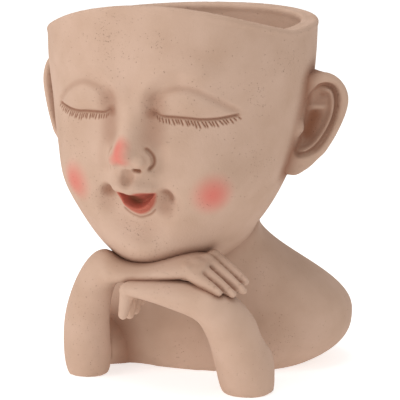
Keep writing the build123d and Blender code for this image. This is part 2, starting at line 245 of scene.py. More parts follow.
def smooth_path(corners):
    """A Catmull-Rom line through the corners, with a point at every step."""
    corners = np.asarray(corners, float)
    if len(corners) == 1:
        return corners
    padded = np.vstack([2 * corners[0] - corners[1], corners, 2 * corners[-1] - corners[-2]])
    runs = []
    for before, start, end, after in zip(padded, padded[1:], padded[2:], padded[3:]):
        count = max(2, int(np.linalg.norm(end - start) / PATH_STEP))
        t = np.linspace(0.0, 1.0, count, endpoint=False)[:, None]
        bend = (2 * before - 5 * start + 4 * end - after) * t ** 2
        swing = (3 * start - before - 3 * end + after) * t ** 3
        runs.append(0.5 * (2 * start + (end - before) * t + bend + swing))
    runs.append(corners[-1:])
    return np.vstack(runs)


# %% Clay that takes strokes
FRONT_START = -200.0
TO_BACK = Vector((0.0, 1.0, 0.0))


class Clay:
    """One casting's points and normals in mm, and the strokes and paint on them."""

    def __init__(self, piece):
        self.piece = piece
        self.read()
        self.paint = {}

    def read(self):
        """Read the points and normals from the mesh."""
        mesh = self.piece.data
        flat = np.empty(3 * len(mesh.vertices))
        mesh.vertices.foreach_get("co", flat)
        self.points = flat.reshape(-1, 3) / MM
        flat = np.empty(3 * len(mesh.vertices))
        mesh.vertex_normals.foreach_get("vector", flat)
        self.normals = flat.reshape(-1, 3)
        self.tree = BVHTree.FromObject(self.piece, bpy.context.evaluated_depsgraph_get())

    def place(self, points):
        """Put every point at a new place."""
        self.piece.data.vertices.foreach_set("co", (points * MM).ravel())
        self.piece.data.update()
        self.read()

    def move(self, push):
        """Move every point along its normal by its own push."""
        self.place(self.points + self.normals * push[:, None])

    def face_line(self, corners):
        """Lay a line that is drawn in the front view, as (across, height), on the clay."""
        laid = []
        for across, height in smooth_path(corners):
            start = Vector((across, FRONT_START, height)) * MM
            laid.append(self.tree.ray_cast(start, TO_BACK)[0] / MM)
        return np.array(laid)

    def photo_line(self, corners):
        """Lay a line that is drawn in the camera's view, as (across, above) from its aim, on the clay."""
        laid = []
        for across, above in smooth_path(corners):
            aim = CAMERA_AIM + (to_right * across + to_top * above) * MM
            spot = self.tree.ray_cast(camera.location, aim - camera.location)[0]
            if spot is not None:
                laid.append(spot / MM)
        return np.array(laid)

    def touch(self, brush, width, line):
        """How strongly a stroke along a line reaches each point, from 0 to 1."""
        inside = (self.points >= line.min(axis=0) - width) & (self.points <= line.max(axis=0) + width)
        near = np.where(inside.all(axis=1))[0]
        reach = np.zeros(len(self.points))
        if len(near) == 0:
            return reach
        gaps = np.sqrt(((self.points[near, None, :] - line[None, :, :]) ** 2).sum(axis=2))
        reach[near] = (brush(gaps, width) * end_fade(line, width)).max(axis=1)
        return reach


# %% Brushes, and strokes on one or both sides
MIDDLE_GAP = 0.01


def end_fade(line, width):
    """A long stroke rises from nothing at its start and runs out at its end."""
    along = np.append(0.0, np.linalg.norm(np.diff(line, axis=0), axis=1).cumsum())
    if along[-1] < 2.0 * width:
        return np.ones(len(line))
    return np.clip(np.minimum(along, along[-1] - along) / width, 0.0, 1.0)


def soft(distance, width):
    """A round brush: 1 on the line, 0 at its width and beyond."""
    return (1.0 - np.clip(distance / width, 0.0, 1.0) ** 2) ** 2


def sharp(distance, width):
    """A pointed tool: steepest on the line."""
    return (1.0 - np.clip(distance / width, 0.0, 1.0)) ** 2


def both_sides(corners):
    """A stroke that lies off the middle line is made on both sides of the face."""
    corners = np.asarray(corners, float)
    if corners[:, 0].min() < MIDDLE_GAP:
        return [corners]
    return [corners, corners * (-1.0, 1.0)]


def one_side(corners):
    """A stroke that is made only where it is drawn."""
    return [corners]


def drawn_touch(clay, brush, width, corners, sides=both_sides):
    """The reach of a stroke that is drawn in the front view."""
    return sum(clay.touch(brush, width, clay.face_line(side)) for side in sides(corners))


def model(clay, strokes, sides=both_sides):
    """Push the clay by a list of strokes: brush, width, height and a line in the front view."""
    push = np.zeros(len(clay.points))
    for brush, width, height, corners in strokes:
        push += height * drawn_touch(clay, brush, width, corners, sides)
    clay.move(push)


# %% Rub down a part of the clay
MARK = "marked"
LEAST_WEIGHT = 0.01


def mark(piece, weights):
    """Write a weight per point as the piece's only vertex group."""
    piece.vertex_groups.clear()
    group = piece.vertex_groups.new(name=MARK)
    for index in np.where(weights > LEAST_WEIGHT)[0]:
        group.add([int(index)], min(1.0, float(weights[index])), "REPLACE")


def sponge(clay, reach, rubs):
    """Smooth the clay where a reach is above 0."""
    mark(clay.piece, reach)
    rub(clay.piece, rubs, vertex_group=MARK)
    clay.piece.vertex_groups.clear()
    clay.read()


# %% Finer squares on the face, then on its features, then on the lashes
FACE_BACK = -25.0
FACE_LEAN = 0.4
FINER_BOXES = [
    [(0.0, 114.0, 50.0, 40.0)],
    [(27.0, 135.0, 20.0, 11.0), (0.0, 111.0, 14.0, 8.0), (0.0, 93.0, 20.0, 13.0)],
    [(27.0, 129.0, 18.5, 4.0)],
]


def face_values(piece, name):
    """The middles or the normals of a piece's faces."""
    flat = np.empty(3 * len(piece.data.polygons))
    piece.data.polygons.foreach_get(name, flat)
    return flat.reshape(-1, 3)


def refine(piece, chosen):
    """Subdivide the chosen faces once."""
    select_only(piece)
    bpy.ops.object.mode_set(mode="EDIT")
    bpy.ops.mesh.select_mode(type="FACE")
    bpy.ops.mesh.select_all(action="DESELECT")
    bpy.ops.object.mode_set(mode="OBJECT")
    piece.data.polygons.foreach_set("select", chosen)
    bpy.ops.object.mode_set(mode="EDIT")
    bpy.ops.mesh.subdivide(number_cuts=1)
    bpy.ops.object.mode_set(mode="OBJECT")
    print("refined", int(chosen.sum()), "faces of", piece.name, "to", len(piece.data.polygons))


def in_boxes(x, z, boxes):
    """Which places of the front view lie in a box, given by its middle and half its size."""
    inside = np.zeros(len(x), bool)
    for middle_x, middle_z, half_wide, half_tall in boxes:
        inside |= (np.abs(x - middle_x) < half_wide) & (np.abs(z - middle_z) < half_tall)
    return inside


head = clays["head_pot"]
for boxes in FINER_BOXES:
    x, y, z = (face_values(head, "center") / MM).T
    forward_looking = (y < FACE_BACK) & (face_values(head, "normal")[:, 1] < FACE_LEAN)
    refine(head, in_boxes(np.abs(x), z, boxes) & forward_looking)

# %% [markdown]
# ## The rim
# The pot's rim has a flat top with clear corners, which the even squares have rounded. So the squares there
# are made finer and drawn back onto the solid, and the corners are pushed out a little, most where the
# surface leans halfway between level and upright.

# %% A crisp rim
RIM_DEPTH = 6.5
RIM_CORNER = 0.9
RIM_SECTORS = 72
RIM_RUBS = 2


def rim_drop(points):
    """How far each point lies below the rim's top in its own direction from the middle."""
    turn = np.arctan2(points[:, 1], points[:, 0]) / math.tau + 0.5
    sector = (turn * RIM_SECTORS).astype(int) % RIM_SECTORS
    tops = np.zeros(RIM_SECTORS)
    np.maximum.at(tops, sector, points[:, 2])
    return tops[sector] - points[:, 2]


def rim_share(points):
    """1 on the rim, fading to 0 over the last mm of its depth."""
    return np.clip(RIM_DEPTH - rim_drop(points), 0.0, 1.0)


refine(head, rim_drop(face_values(head, "center") / MM) < RIM_DEPTH)
rub(head, RIM_RUBS)
mark(head, rim_share(Clay(head).points))
apply_modifier(head, "SHRINKWRAP", target=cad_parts["head_pot"], vertex_group=MARK)
head.vertex_groups.clear()
rim = Clay(head)
rise = np.clip(rim.normals[:, 2], 0.0, 1.0)
rim.move(RIM_CORNER * rim_share(rim.points) * 2.0 * rise * np.sqrt(1.0 - rise ** 2))
print("rim squared up by", RIM_CORNER, "mm at its corners")

# %% [markdown]
# ## The face
# The head's own form already has a plain nose, sockets, lids and cheeks. The large strokes come first,
# because they turn the normals that the fine ones follow: brow, eye sockets, the tip and the wings of the
# nose, the chin, and both lips. Lines are drawn in the front view. One that keeps off the middle is drawn for
# the figure's left side and repeated on the right, and one that crosses the middle is drawn whole.

# %% Large forms of the face
LASH_LINE = [
    (9.6, 133.2), (14, 131), (20, 130.5), (25, 130), (30, 129.3), (36, 129.4), (41, 130.2), (44, 130.6),
]
LID_CREASE = [
    (9.6, 135), (11.5, 139), (17.6, 142.4), (23.5, 143.4), (29, 142), (35.5, 138), (41.5, 133), (44, 131),
]
UPPER_LIP = [(-9.2, 96.6), (-5.8, 97.8), (-2, 98.2), (0.8, 97.2), (3.6, 98.2), (7.4, 97.8), (11.6, 97)]
LOWER_LIP = [(-6.6, 91.6), (-5.2, 88.4), (-2.6, 86.2), (1, 85.2), (4.6, 86.2), (7.4, 88.6), (9.4, 91.4)]
LARGE_STROKES = [
    (soft, 8.0, 1.0, [(4.5, 126), (5.5, 136), (9.5, 144), (17, 149.5), (27, 151), (37, 148)]),
    (soft, 6.0, -1.4, [(10, 130), (10.5, 137), (13, 142), (19, 146), (26, 147)]),
    (soft, 5.0, -1.2, [(13.2, 115), (13.4, 111), (12.8, 107)]),
    (soft, 7.0, 1.2, [(0, 112.4)]),
    (soft, 4.0, 1.5, [(6.6, 110.4)]),
    (soft, 3.6, -1.5, [(-5, 104.4), (0, 103.8), (5, 104.4)]),
    (soft, 17.0, -4.5, [(-4, 84), (4, 84)]),
    (soft, 9.0, 0.8, [(0, 100)]),
    (soft, 9.0, -1.2, [(14.5, 90)]),
    (soft, 3.8, 1.1, UPPER_LIP),
    (soft, 3.4, 1.7, LOWER_LIP),
]
face = Clay(head)
model(face, LARGE_STROKES)
print("large face strokes:", len(LARGE_STROKES))

# %% [markdown]
# The fine strokes cut the lids, the wings of the nose and the folds. Those in the second list are made only
# where they are drawn: the folds beside the mouth differ from each other, and the wing and the nostril are
# cut deeper on the side that the photograph shows.

# %% Creases, nostril and folds
LID_DROP = 0.5
LOWER_LID = [(across, height - LID_DROP) for across, height in LASH_LINE]
WING_GROOVE = [(7.4, 116.6), (9.2, 115), (10.6, 112.2), (10.6, 109), (8.8, 106.2)]
NOSTRIL = [(3.2, 106.4), (5.6, 106.2)]
NEAR_FOLD = [(11.4, 94.8), (14, 95.4), (15.9, 93.6), (15.8, 89.4)]
FAR_FOLD = [(-9.4, 95.4), (-11.8, 95.8), (-13.8, 94.2), (-14, 91)]
UNDER_LIP = [(-6.6, 87.2), (-4, 84.4), (1, 82.7), (6, 84.4), (8.8, 87.2)]
FINE_STROKES = [
    (soft, 2.8, -0.6, LID_CREASE),
    (sharp, 2.0, -1.2, LOWER_LID),
    (sharp, 2.2, -0.7, WING_GROOVE),
    (soft, 4.4, -1.0, [(0.2, 103.4), (0.4, 101)]),
    (sharp, 1.2, -0.6, UNDER_LIP),
]
NEAR_STROKES = [
    (sharp, 2.2, -1.2, WING_GROOVE),
    (soft, 3.8, -1.8, NEAR_FOLD),
    (soft, 4.4, -1.3, FAR_FOLD),
    (soft, 1.4, -1.5, NOSTRIL),
]
model(face, FINE_STROKES)
model(face, NEAR_STROKES, one_side)
print("fine face strokes:", len(FINE_STROKES) + len(NEAR_STROKES))

# %% [markdown]
# ## The open mouth
# The mouth is a real hollow, so that it is dark from every side. An outline is drawn in the front view, and
# the points inside it move straight back, more the further they lie from the outline, down to a flat floor.

# %% Hollow the mouth
MOUTH_OUTLINE = [
    (-8.6, 94.8), (-6, 95.6), (-3.6, 96.1), (-1.2, 95.8), (1, 95), (3.2, 95.8), (5.6, 96.1), (8, 95.8),
    (10.4, 95.2), (8.8, 92.4), (6.8, 89.6), (4.2, 87.8), (1.2, 87.1), (-1.8, 87.8), (-4.4, 89.6),
    (-6.8, 92.2),
]
MOUTH_DEPTH = 5.8
MOUTH_SLOPE = 2.6
MOUTH_BACK = -40.0


def inside_outline(clay, outline, back):
    """How far inside a closed outline of the front view each point lies, 0 outside it."""
    loop = smooth_path(list(outline) + list(outline[:2]))
    x, y, z = clay.points.T
    inside = np.zeros(len(x), bool)
    for (x0, z0), (x1, z1) in zip(loop, np.roll(loop, -1, axis=0)):
        if z0 != z1:
            inside ^= ((z0 > z) != (z1 > z)) & (x < (x1 - x0) * (z - z0) / (z1 - z0) + x0)
    chosen = np.where(inside & (y < back))[0]
    gaps = clay.points[chosen][:, None, [0, 2]] - loop[None, :, :]
    depth = np.zeros(len(x))
    depth[chosen] = np.sqrt((gaps ** 2).sum(axis=2).min(axis=1))
    return depth


def hollow(clay, outline, depth, slope, back):
    """Press an outlined area straight back, and say how fully each point went."""
    share = np.clip(inside_outline(clay, outline, back) / slope, 0.0, 1.0)
    placed = clay.points.copy()
    placed[:, 1] += depth * share * share * (3.0 - 2.0 * share)
    clay.place(placed)
    return share


mouth = hollow(face, MOUTH_OUTLINE, MOUTH_DEPTH, MOUTH_SLOPE, MOUTH_BACK)
print("points in the mouth:", int((mouth > 0).sum()))

# %% [markdown]
# ## Lashes
# The lashes are short cuts below the closed lid that lean outwards, each filled with brown. They are strokes
# with a fine pointed tool, one after another along the lash line. A seeded hand shakes each a little, so that
# they are uneven in the same way on every run.

# %% Cut the lashes
LASH_COUNT = 25
LASH_SEED = 7
LASH_START = 11.6
LASH_SPAN = 31.2
LASH_SHIFT = 0.3
LASH_DROP = 0.9
LASH_LEAN = (0.12, 0.66)
LASH_SWAY = 0.12
LASH_LENGTH = 4.3
LASH_SHORT = 0.7
LASH_SWELL = 0.3
LASH_TRIM = (0.75, 1.05)
LASH_WIDTH = 0.8
LASH_DEPTH = 0.55

lash_hand = np.random.default_rng(LASH_SEED)
lash_path = smooth_path(LASH_LINE)
lashes = []
for share in np.linspace(0.0, 1.0, LASH_COUNT):
    across = LASH_START + LASH_SPAN * share + lash_hand.uniform(-LASH_SHIFT, LASH_SHIFT)
    top = np.interp(across, lash_path[:, 0], lash_path[:, 1]) - LASH_DROP
    lean = LASH_LEAN[0] + (LASH_LEAN[1] - LASH_LEAN[0]) * share + lash_hand.uniform(-LASH_SWAY, LASH_SWAY)
    swell = LASH_SHORT + LASH_SWELL * math.sin(math.pi * share)
    length = LASH_LENGTH * swell * lash_hand.uniform(*LASH_TRIM)
    lashes.append([(across, top), (across + length * math.sin(lean), top - length * math.cos(lean))])

lash_reach = np.zeros(len(face.points))
for lash in lashes:
    lash_reach = np.maximum(lash_reach, drawn_touch(face, sharp, LASH_WIDTH, lash))
face.move(-LASH_DEPTH * lash_reach)
print("lashes on each lid:", len(lashes))

# %% [markdown]
# ## Paint on the face
# The blush, the lips and the brown wash are painted by hand on the real planter. Here each is a value per
# point, stored on the mesh as an attribute that the material reads, so it stays on the surface from every
# side. The brown layer also carries painted shade: in the inner corners of the eyes, along the sides of the
# nose, in the nostril, in the folds and hollows beside the mouth, in the philtrum and at the back of the mouth.

# %% Paint the face
LIP_OUTLINE = [
    (-9, 95.2), (-6, 96.2), (-3.6, 96.7), (-1.2, 96.4), (1, 95.6), (3.2, 96.4), (5.6, 96.7), (8, 96.4),
    (10.8, 95.5), (10, 91.5), (8.2, 87.8), (5, 84.8), (1, 83.5), (-3, 84.8), (-6.2, 87.6), (-8, 91.4),
]
LIP_EDGE = 1.3
LIP_COVER = 0.92
BLUSH = [
    (12.5, 0.9, [(34.6, 94.4)]),
    (12.0, 0.8, [(-31.5, 96.7)]),
    (7.5, 0.85, [(-2.6, 117), (-2.6, 112)]),
]
LASH_FILL = 1.4
LASH_COVER = 0.95
# Brown wash and painted shade: the lash line is wash; the lid crease, the wing groove and the line under the
# lip are wash with painted shade; the inner eye corners, the sides of the nose, the hollows beside the mouth
# and the philtrum are painted shade.
FACE_WASH_AND_SHADE = [
    (soft, 1.5, 0.75, LOWER_LID),
    (soft, 2.2, 0.22, LID_CREASE),
    (soft, 6.5, 0.75, [(9.8, 131.6)]),
    (soft, 9.0, 0.42, [(10.5, 137), (10.4, 130), (10.2, 121)]),
    (soft, 1.3, 0.35, WING_GROOVE),
    (soft, 9.0, 0.18, [(14.5, 90)]),
    (soft, 0.9, 0.6, UNDER_LIP),
    (soft, 4.2, 0.14, [(1.0, 103.2), (1.0, 101)]),
]
# Painted shade, with some wash in the wing groove: in the wing groove, the folds beside the mouth and the
# hollow below the near one, the nostril and the back of the mouth.
NEAR_SHADE_AND_WASH = [
    (soft, 1.4, 0.8, WING_GROOVE),
    (soft, 3.2, 0.7, NEAR_FOLD),
    (soft, 6.5, 0.4, [(13, 92), (13, 88)]),
    (soft, 6.0, 0.75, FAR_FOLD[1:3]),
    (soft, 1.9, 0.95, NOSTRIL),
    (soft, 4.0, 0.9, [(-2.0, 91.4), (-0.5, 90)]),
]
LEAST_SEEN = 0.05

blush = np.zeros(len(face.points))
for width, strength, corners in BLUSH:
    blush = np.maximum(blush, strength * face.touch(soft, width, face.face_line(corners)))
wash_and_shade = np.minimum(LASH_FILL * lash_reach, LASH_COVER)
for strokes, sides in ((FACE_WASH_AND_SHADE, both_sides), (NEAR_SHADE_AND_WASH, one_side)):
    for brush, width, strength, corners in strokes:
        wash_and_shade = np.maximum(wash_and_shade, strength * drawn_touch(face, brush, width, corners, sides))
lips = np.clip(inside_outline(face, LIP_OUTLINE, MOUTH_BACK) / LIP_EDGE, 0.0, LIP_COVER)
face.paint = {"blush": blush, "wash_and_shade": np.clip(wash_and_shade, 0.0, 1.0), "lips": lips}
print("painted points:", {name: int((value > LEAST_SEEN).sum()) for name, value in face.paint.items()})

# %% [markdown]
# ## The ears
# An ear is a thick leaf with a rolled edge, a groove inside the edge, a thin ridge, and a deep bowl in front
# of it. It is modelled lying in the front view like a small face: a disc is drawn to the ear's outline,
# extruded, skinned with even squares and carved. Then it is turned to its place at the side of the head. The
# other ear is a mirrored copy, turned right side out again.

# %% The leaf
EAR_LEAF = [
    (1, 12), (7.4, 13.2), (13.4, 11.2), (18.2, 6.4), (20.2, 0.6), (18.8, -6.4), (14, -16), (7.6, -25.2),
    (1, -31), (-4.5, -33.6), (-9, -32.4), (-11, -28), (-8.5, -16), (-6, -4), (-3, 7),
]
EAR_HALF_THICKNESS = 4.6
EAR_SQUARE = 0.5
EAR_RUBS = 18
EAR_CORNERS = 96

bpy.ops.object.select_all(action="DESELECT")
bpy.ops.mesh.primitive_circle_add(vertices=EAR_CORNERS, fill_type="NGON")
left_ear = bpy.context.object
left_ear.name = "left_ear_cast"
ear_loop = smooth_path(EAR_LEAF + EAR_LEAF[:1])
for index, corner in enumerate(left_ear.data.vertices):
    across, height = ear_loop[int(index * len(ear_loop) / EAR_CORNERS)]
    corner.co = Vector((across, -EAR_HALF_THICKNESS, height)) * MM
bpy.ops.object.mode_set(mode="EDIT")
bpy.ops.mesh.select_all(action="SELECT")
ear_thickness = (0.0, 2.0 * EAR_HALF_THICKNESS * MM, 0.0)
bpy.ops.mesh.extrude_region_move(TRANSFORM_OT_translate={"value": ear_thickness})
bpy.ops.mesh.select_all(action="SELECT")
bpy.ops.mesh.normals_make_consistent(inside=False)
bpy.ops.object.mode_set(mode="OBJECT")
skin(left_ear, EAR_SQUARE, EAR_RUBS)

# %% Carve the ear
EAR_BOWL = [
    (-5, -6), (-0.6, 2.4), (5.4, 8), (11, 9), (15.6, 6), (17, -0.6), (15.4, -9), (11.4, -16.6), (6.6, -22.4),
    (1, -25.4), (-5, -25), (-7.8, -18), (-7, -11),
]
EAR_BOWL_DEPTH = 4.0
EAR_BOWL_SLOPE = 2.0
EAR_BOWL_BACK = 0.0
EAR_RIDGE = [(8.6, 6), (12.6, 3.6), (13.6, -3), (11.6, -10.3), (6.3, -18.6), (1.4, -22), (-2, -22.6)]
EAR_GROOVE = [(5.4, 7.4), (12.2, 7.6), (15.8, 2.4), (15.4, -5), (12.6, -13), (8.4, -19.6), (4, -23.6)]
EAR_CRUS = [(-1.5, -2.7), (4.6, -3.2), (11, -3.3)]
EAR_STROKES = [
    (soft, 3.4, 1.0, [(0, 8), (5, 11), (11.6, 11), (16.8, 7), (18.6, 0), (16.6, -8), (12, -17), (6, -25)]),
    (soft, 2.0, 2.8, EAR_RIDGE),
    (soft, 9.0, -2.6, [(4, -6.5), (0.5, -15)]),
    (soft, 2.8, 1.5, EAR_CRUS),
    (soft, 3.0, -1.0, [(4.5, 1.2), (9, 2.4)]),
    (sharp, 1.8, -1.4, EAR_GROOVE),
    (soft, 5.0, -0.8, [(-3, -29)]),
]
EAR_LAST_RUBS = 5
# Brown wash with painted shade in the deep bowl and the groove inside the rim, wiped off the ridge and the
# crus.
EAR_BOWL_WASH_AND_SHADE = 0.5
EAR_WASH_AND_SHADE = [(9.5, 0.95, [(6, -7), (3, -15)]), (2.0, 0.55, EAR_GROOVE)]
EAR_WIPE_WIDTH = 1.8
EAR_WIPE = 0.6

ear = Clay(left_ear)
bowl = hollow(ear, EAR_BOWL, EAR_BOWL_DEPTH, EAR_BOWL_SLOPE, EAR_BOWL_BACK)
model(ear, EAR_STROKES, one_side)
rub(left_ear, EAR_LAST_RUBS)
ear.read()
ear_wash_and_shade = EAR_BOWL_WASH_AND_SHADE * bowl
for width, strength, line in EAR_WASH_AND_SHADE:
    ear_wash_and_shade = np.maximum(ear_wash_and_shade, strength * drawn_touch(ear, soft, width, line, one_side))
for line in (EAR_RIDGE, EAR_CRUS):
    ear_wash_and_shade *= 1.0 - EAR_WIPE * drawn_touch(ear, soft, EAR_WIPE_WIDTH, line, one_side)
print("ear carved by", len(EAR_STROKES), "strokes")

# %% Set both ears at the sides of the head, each behind a small flap
EAR_SPRING = Vector((57.8, 3.0, 130.2)) * MM
EAR_FLARE = math.radians(40)
FLAP = np.array([(56.5, -1.5, 118.6)])
FLAP_WIDTH = 6.0
FLAP_HEIGHT = 2.5

left_ear.data.transform(Matrix.Translation(EAR_SPRING) @ Matrix.Rotation(EAR_FLARE, 4, "Z"))
right_ear = bpy.data.objects.new("right_ear_cast", left_ear.data.copy())
bpy.context.scene.collection.objects.link(right_ear)
right_ear.data.transform(Matrix.Scale(-1.0, 4, Vector((1.0, 0.0, 0.0))))
right_ear.data.flip_normals()
clays["left_ear"] = left_ear
clays["right_ear"] = right_ear
flaps = face.touch(soft, FLAP_WIDTH, FLAP) + face.touch(soft, FLAP_WIDTH, FLAP * (-1.0, 1.0, 1.0))
face.move(FLAP_HEIGHT * flaps)
print("ears at", [round(value / MM, 1) for value in EAR_SPRING], "mm and across from it")

# %% [markdown]
# ## The hands
# The arms come from the frame as bare limbs with round fingers. A sponge takes the ball out of each wrist,
# fingers are narrowed towards their tips, and a pointed tool opens the gaps between them and marks the nails.
# Last, a low bump is set on each knuckle. These strokes follow lines in space, from a knuckle to its tip. The
# gaps and the nail lines get brown wash with painted shade.

# %% Where the fingers are
HANDS = {
    "right_arm": {
        "wrist": (-21.0, -41.0, 55.0),
        "back": (0.0, -0.45, 0.90),
        "taper": 0.9,
        "gap": 0.9,
        "fingers": [
            [(23.5, -52.0, 59.1), (40.0, -55.2, 51.8)],
            [(26.0, -46.5, 60.7), (45.0, -51.2, 50.7)],
            [(28.5, -40.5, 62.0), (48.2, -46.2, 51.3)],
            [(29.5, -35.0, 63.0), (47.0, -40.5, 54.1)],
        ],
    },
    "left_arm": {
        "wrist": (34.0, -52.0, 45.1),
        "back": (-0.95, -0.30, 0.0),
        "taper": 0.2,
        "gap": 0.4,
        "fingers": [
            [(-4.0, -56.0, 49.5), (-6.2, -56.4, 37.5)],
            [(-4.6, -49.0, 50.1), (-6.4, -48.5, 35.9)],
            [(-4.6, -42.5, 50.1), (-6.4, -42.0, 36.5)],
            [(-4.0, -37.0, 49.5), (-6.0, -36.5, 39.5)],
        ],
    },
}
FINGER_REACH = 5.0
FINGER_END = 1.2
TAPER_START = 0.4
TAPER_RUN = 0.75
NAIL_WIDE = 1.5
NAIL_LONG = 2.1
NAIL_BACK = 0.6
NAIL_RISE = 2.1
NAIL_TURN = (math.radians(-200), math.radians(20))
NAIL_POINTS = 24


def axis_places(points, finger):
    """Where each point lies along a finger, 0 at the knuckle and 1 at the tip, and how far off its axis."""
    start, end = np.array(finger)
    axis = end - start
    along = (points - start) @ axis / (axis @ axis)
    off = np.linalg.norm(points - start - np.clip(along, 0.0, FINGER_END)[:, None] * axis, axis=1)
    return along, off


def finger_taper(clay, hand):
    """The push that narrows each finger towards its tip."""
    places = [axis_places(clay.points, finger) for finger in hand["fingers"]]
    owner = np.argmin([off for _, off in places], axis=0)
    push = np.zeros(len(clay.points))
    for index, (along, off) in enumerate(places):
        own = (owner == index) & (off < FINGER_REACH)
        push -= hand["taper"] * own * np.clip((along - TAPER_START) / TAPER_RUN, 0.0, 1.0) ** 2
    return push


def nail_rim(finger, back):
    """A rounded U round the nail, open at the tip."""
    start, end = np.array(finger)
    ahead = (end - start) / np.linalg.norm(end - start)
    across = np.cross(ahead, back)
    across /= np.linalg.norm(across)
    middle = end - NAIL_BACK * ahead + NAIL_RISE * np.cross(across, ahead)
    turns = np.linspace(*NAIL_TURN, NAIL_POINTS)
    sides = NAIL_WIDE * np.cos(turns)[:, None] * across
    return middle + sides + NAIL_LONG * np.sin(turns)[:, None] * ahead


# %% Model the hands
WRIST_REACH = 19.0
WRIST_PRESS = 1.8
WRIST_RUBS = 90
GAP_WIDTH = 2.4
GAP_RISE = 1.4
NAIL_GROOVE = 0.9
NAIL_DEPTH = 0.25
NAIL_WASH_AND_SHADE = 0.25
KNUCKLE_RISE = 2.6
KNUCKLE_WIDTH = 3.6
KNUCKLE_HEIGHT = 0.5

hand_wash_and_shade = {}
for node, hand in HANDS.items():
    clay = Clay(clays[node])
    back = np.array(hand["back"])
    sponge(clay, WRIST_PRESS * clay.touch(soft, WRIST_REACH, np.array([hand["wrist"]])), WRIST_RUBS)
    middles = face_values(clay.piece, "center") / MM
    near = np.min([axis_places(middles, finger)[1] for finger in hand["fingers"]], axis=0)
    refine(clay.piece, near < FINGER_REACH)
    clay.read()
    push = finger_taper(clay, hand)
    # Brown wash with painted shade in the gaps between the fingers and round the nails.
    wash_and_shade = np.zeros(len(clay.points))
    for one, other in zip(hand["fingers"], hand["fingers"][1:]):
        gap = (np.array(one) + np.array(other)) / 2.0 + GAP_RISE * back
        reach = clay.touch(sharp, GAP_WIDTH, smooth_path(gap))
        push -= hand["gap"] * reach
        wash_and_shade = np.maximum(wash_and_shade, reach)
    clay.move(push)
    push = np.zeros(len(clay.points))
    for finger in hand["fingers"]:
        groove = clay.touch(sharp, NAIL_GROOVE, nail_rim(finger, back))
        knuckle = np.array([finger[0]]) + KNUCKLE_RISE * back
        push += KNUCKLE_HEIGHT * clay.touch(soft, KNUCKLE_WIDTH, knuckle) - NAIL_DEPTH * groove
        wash_and_shade = np.maximum(wash_and_shade, NAIL_WASH_AND_SHADE * groove)
    clay.move(push)
    hand_wash_and_shade[node] = wash_and_shade
    print(node, "has", len(hand["fingers"]), "fingers and", len(clay.points), "points")

# %% [markdown]
# The left forearm stands in full view, and its near side is too full. A line along that side is drawn in the
# camera's view and laid on the clay, because the outline that has to fit is the one the camera sees.

# %% Slim the standing forearm
FOREARM_SIDE = [(30.0, -38.0), (34.4, -48.8), (40.0, -66.0), (44.0, -80.0), (45.0, -90.0)]
FOREARM_WIDTH = 15.0
FOREARM_CUT = 2.0

forearm = Clay(clays["left_arm"])
forearm.move(-FOREARM_CUT * forearm.touch(soft, FOREARM_WIDTH, forearm.photo_line(FOREARM_SIDE)))
print("forearm slimmed along", len(FOREARM_SIDE), "points")

# %% [markdown]
# ## Bonded joints
# Where two castings are bonded, the joint is filled and rubbed down, so the corner between them is a soft
# hollow and not a cut. Both sides of each joint are pushed out near the other casting, most at the corner and
# not at all past a width. The drain is left alone, because the plug has to move there. Then the foot is
# ground flat, as it is on a real casting, so that nothing reaches below the floor.

# %% Fill the corners
JOINTS = [
    ("head_pot", "bust", 11.0, 3.6),
    ("right_arm", "bust", 12.0, 4.2),
    ("left_arm", "bust", 5.0, 1.4),
    ("head_pot", "left_ear", 3.5, 1.0),
    ("head_pot", "right_ear", 3.5, 1.0),
    ("head_pot", "right_arm", 1.2, 0.5),
    ("head_pot", "left_arm", 1.2, 0.5),
    ("right_arm", "left_arm", 1.2, 0.5),
]
JOINT_FALL = 2
DRAIN_MIDDLE = np.array((0.0, 11.0))
DRAIN_KEEP = 19.0


def nearness(clay, other, width):
    """How near each point lies to another casting: 1 where they touch, 0 past a width."""
    near = np.zeros(len(clay.points))
    low = other.points.min(axis=0) - width
    high = other.points.max(axis=0) + width
    for index in np.where(((clay.points > low) & (clay.points < high)).all(axis=1))[0]:
        distance = other.tree.find_nearest(Vector(clay.points[index]) * MM, width * MM)[3]
        if distance is not None:
            near[index] = 1.0 - distance / (width * MM)
    return near


bodies = {node: Clay(piece) for node, piece in clays.items()}
pushes = {node: np.zeros(len(body.points)) for node, body in bodies.items()}
for first, second, width, height in JOINTS:
    for node, other in ((first, second), (second, first)):
        push = height * nearness(bodies[node], bodies[other], width) ** JOINT_FALL
        off_drain = np.linalg.norm(bodies[node].points[:, :2] - DRAIN_MIDDLE, axis=1) > DRAIN_KEEP
        pushes[node] = np.maximum(pushes[node], push * off_drain)
for node, body in bodies.items():
    body.move(pushes[node])
print("corner fill in mm:", {node: round(float(push.max()), 2) for node, push in pushes.items()})

# %% Grind the foot flat
for body in bodies.values():
    ground = body.points.copy()
    ground[:, 2] = np.maximum(ground[:, 2], 0.0)
    body.place(ground)
print("lowest point in mm:", round(min(float(body.points[:, 2].min()) for body in bodies.values()), 3))

# %% [markdown]
# ## The brown wash and painted shade
# On the real planter a thin brown wash is brushed on and wiped off, so it stays where a cloth can't reach.
# The same brown is also painted shade: darker in the creases, and where castings meet, such as under the chin
# and where the right forearm shades the chest. Two measures find those places: how deep a point lies below a
# rubbed-down copy of its own casting, and how near it lies to another casting.

# %% Find the creases
# Brown wash with painted shade, darker the deeper a crease lies: rubs, depth for full strength, strength.
CREASE_WASH_AND_SHADE = {
    "head_pot": (30, 2.2, 0.35),
    "bust": (14, 1.6, 0.40),
    "right_arm": (26, 0.8, 0.85),
    "left_arm": (26, 0.8, 0.85),
    "left_ear": (30, 0.9, 0.70),
    "right_ear": (30, 0.9, 0.70),
}
